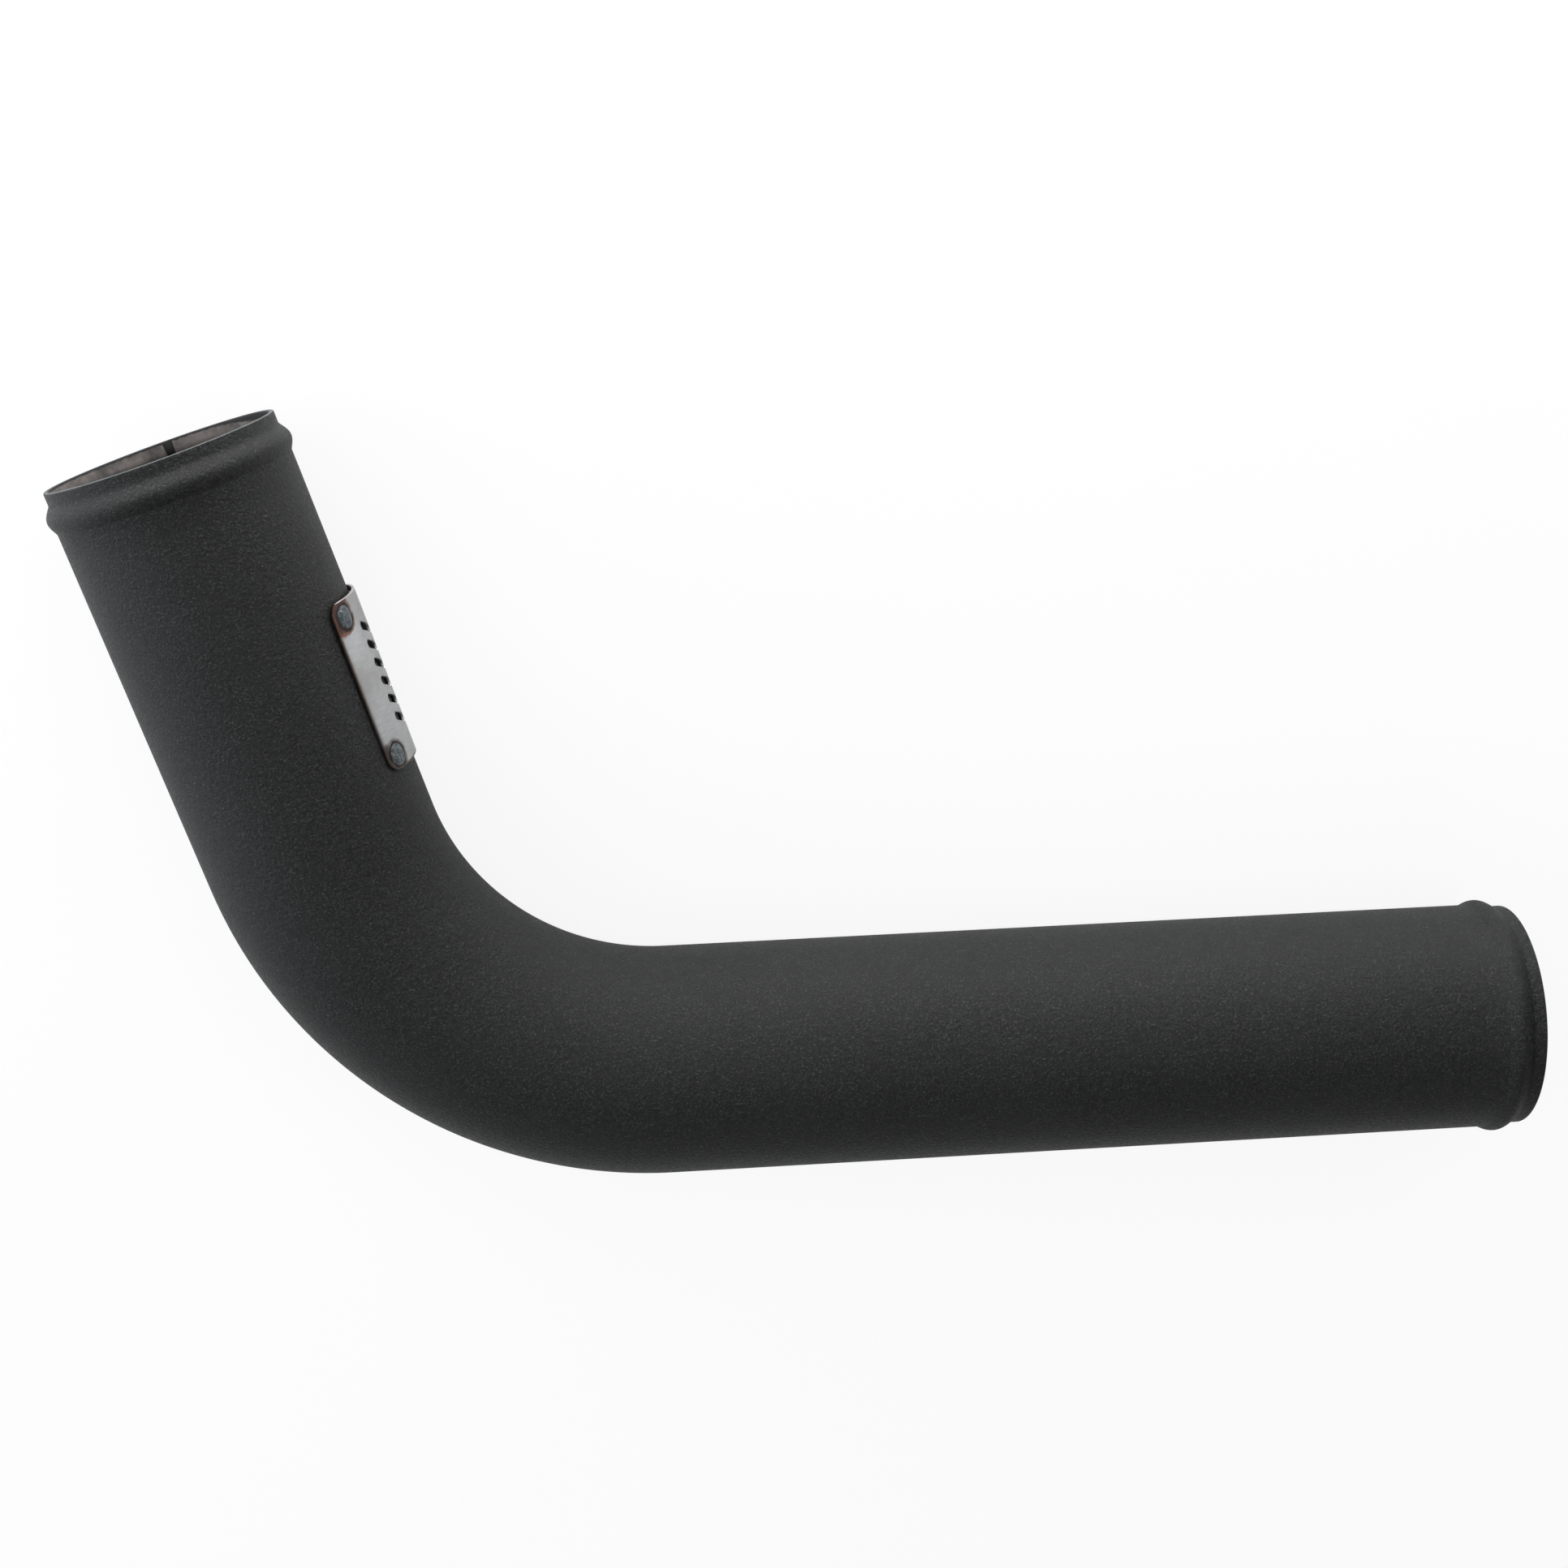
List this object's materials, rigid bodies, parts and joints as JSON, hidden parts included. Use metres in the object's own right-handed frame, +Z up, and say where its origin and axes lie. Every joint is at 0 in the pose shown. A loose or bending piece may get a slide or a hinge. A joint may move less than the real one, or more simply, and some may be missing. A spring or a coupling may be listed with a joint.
{
  "type": "intercooler pipe",
  "caption": "Bent steel pipe that carries charge air to an engine, with a rolled hose bead by each mouth and a pierced, curled plate welded on the inner side of its short leg.",
  "frame": {"origin": "centre of the long leg's mouth", "axes": "+X out of the long leg's mouth, +Y towards the short leg, on the inner side of the bend, +Z up, square to the plane of the bend; the pipe lies on its side"},
  "size_m": [0.4746, 0.2614, 0.0794],
  "materials": {
    "black_powder_coat": "matte",
    "brushed_plate": "satin",
    "weld_metal": "satin"
  },
  "bodies": {
    "root": {"tube": "black_powder_coat", "badge_plate": "brushed_plate", "weld_nuggets": "weld_metal"}
  },
  "joints": []
}
